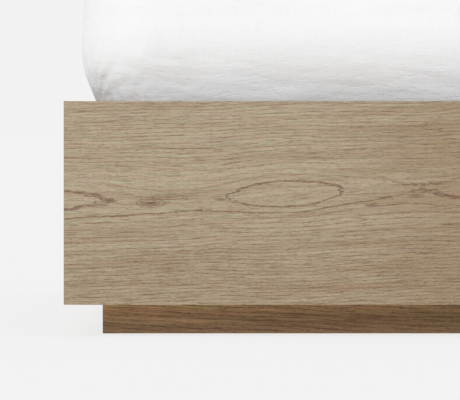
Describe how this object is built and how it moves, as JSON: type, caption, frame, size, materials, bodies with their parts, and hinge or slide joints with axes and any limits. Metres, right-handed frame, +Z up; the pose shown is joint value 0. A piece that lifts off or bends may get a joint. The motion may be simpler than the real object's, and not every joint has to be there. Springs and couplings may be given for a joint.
{
  "type": "storage bed",
  "caption": "Platform bed with an oak case on a recessed plinth, pull-out storage drawers in both long sides, a slatted deck sunk in the case, and a mattress in a linen sheet.",
  "frame": {"origin": "the middle of the bed's footprint, on the floor", "axes": "+Z up, +Y along the bed towards the head, +X towards the right-hand side seen by somebody who stands at the foot and looks at the bed"},
  "size_m": [1.58, 2.088, 0.567],
  "materials": {
    "oak": "satin",
    "oak_plinth": "satin",
    "birch_ply": "satin",
    "pine": "matte",
    "zinc_steel": "satin",
    "zinc_screw": "satin",
    "webbing": "matte",
    "rubber": "matte",
    "nylon": "matte",
    "mattress_fabric": "matte",
    "linen": "matte"
  },
  "bodies": {
    "bed_frame": {"foot_panel": "oak", "head_panel": "oak", "left_top_rail": "oak", "right_top_rail": "oak", "corner_stiles": "oak", "mullions": "oak", "foot_partition": "birch_ply", "mid_partition": "birch_ply", "head_partition": "birch_ply", "center_spine": "birch_ply", "base_panel_foot": "birch_ply", "base_panel_head": "birch_ply", "plinth_foot": "oak_plinth", "plinth_head": "oak_plinth", "plinth_left": "oak_plinth", "plinth_right": "oak_plinth", "plinth_center": "pine", "floor_glides": "nylon", "slat_ledges": "pine", "slats": "pine", "slat_straps": "webbing", "corner_brackets": "zinc_steel", "bracket_screws": "zinc_screw", "cabinet_runners": "zinc_steel", "cabinet_runner_screws": "zinc_screw", "drawer_bumpers": "rubber", "mattress": "mattress_fabric", "fitted_sheet": "linen"},
    "left_foot_drawer": {"left_foot_drawer_front": "oak", "left_foot_drawer_box_front": "birch_ply", "left_foot_drawer_box_sides": "birch_ply", "left_foot_drawer_box_back": "birch_ply", "left_foot_drawer_bottom": "birch_ply", "left_foot_drawer_runners": "zinc_steel", "left_foot_drawer_screws": "zinc_screw"},
    "left_foot_middle_members": {"left_foot_middle_runners": "zinc_steel"},
    "left_head_drawer": {"left_head_drawer_front": "oak", "left_head_drawer_box_front": "birch_ply", "left_head_drawer_box_sides": "birch_ply", "left_head_drawer_box_back": "birch_ply", "left_head_drawer_bottom": "birch_ply", "left_head_drawer_runners": "zinc_steel", "left_head_drawer_screws": "zinc_screw"},
    "left_head_middle_members": {"left_head_middle_runners": "zinc_steel"},
    "right_foot_drawer": {"right_foot_drawer_front": "oak", "right_foot_drawer_box_front": "birch_ply", "right_foot_drawer_box_sides": "birch_ply", "right_foot_drawer_box_back": "birch_ply", "right_foot_drawer_bottom": "birch_ply", "right_foot_drawer_runners": "zinc_steel", "right_foot_drawer_screws": "zinc_screw"},
    "right_foot_middle_members": {"right_foot_middle_runners": "zinc_steel"},
    "right_head_drawer": {"right_head_drawer_front": "oak", "right_head_drawer_box_front": "birch_ply", "right_head_drawer_box_sides": "birch_ply", "right_head_drawer_box_back": "birch_ply", "right_head_drawer_bottom": "birch_ply", "right_head_drawer_runners": "zinc_steel", "right_head_drawer_screws": "zinc_screw"},
    "right_head_middle_members": {"right_head_middle_runners": "zinc_steel"}
  },
  "joints": [
    {"name": "left_foot_drawer_slide", "type": "slide", "parent": "bed_frame", "child": "left_foot_drawer", "axis": [-1, 0, 0], "range_m": [0, 0.65]},
    {"name": "left_foot_middle_slide", "type": "slide", "parent": "bed_frame", "child": "left_foot_middle_members", "axis": [-1, 0, 0], "range_m": [0, 0.325]},
    {"name": "left_head_drawer_slide", "type": "slide", "parent": "bed_frame", "child": "left_head_drawer", "axis": [-1, 0, 0], "range_m": [0, 0.65]},
    {"name": "left_head_middle_slide", "type": "slide", "parent": "bed_frame", "child": "left_head_middle_members", "axis": [-1, 0, 0], "range_m": [0, 0.325]},
    {"name": "right_foot_drawer_slide", "type": "slide", "parent": "bed_frame", "child": "right_foot_drawer", "axis": [1, 0, 0], "range_m": [0, 0.65]},
    {"name": "right_foot_middle_slide", "type": "slide", "parent": "bed_frame", "child": "right_foot_middle_members", "axis": [1, 0, 0], "range_m": [0, 0.325]},
    {"name": "right_head_drawer_slide", "type": "slide", "parent": "bed_frame", "child": "right_head_drawer", "axis": [1, 0, 0], "range_m": [0, 0.65]},
    {"name": "right_head_middle_slide", "type": "slide", "parent": "bed_frame", "child": "right_head_middle_members", "axis": [1, 0, 0], "range_m": [0, 0.325]}
  ],
  "couplings": [
    {"joint": "left_foot_middle_slide", "follows": "left_foot_drawer_slide", "ratio": 0.5},
    {"joint": "left_head_middle_slide", "follows": "left_head_drawer_slide", "ratio": 0.5},
    {"joint": "right_foot_middle_slide", "follows": "right_foot_drawer_slide", "ratio": 0.5},
    {"joint": "right_head_middle_slide", "follows": "right_head_drawer_slide", "ratio": 0.5}
  ]
}
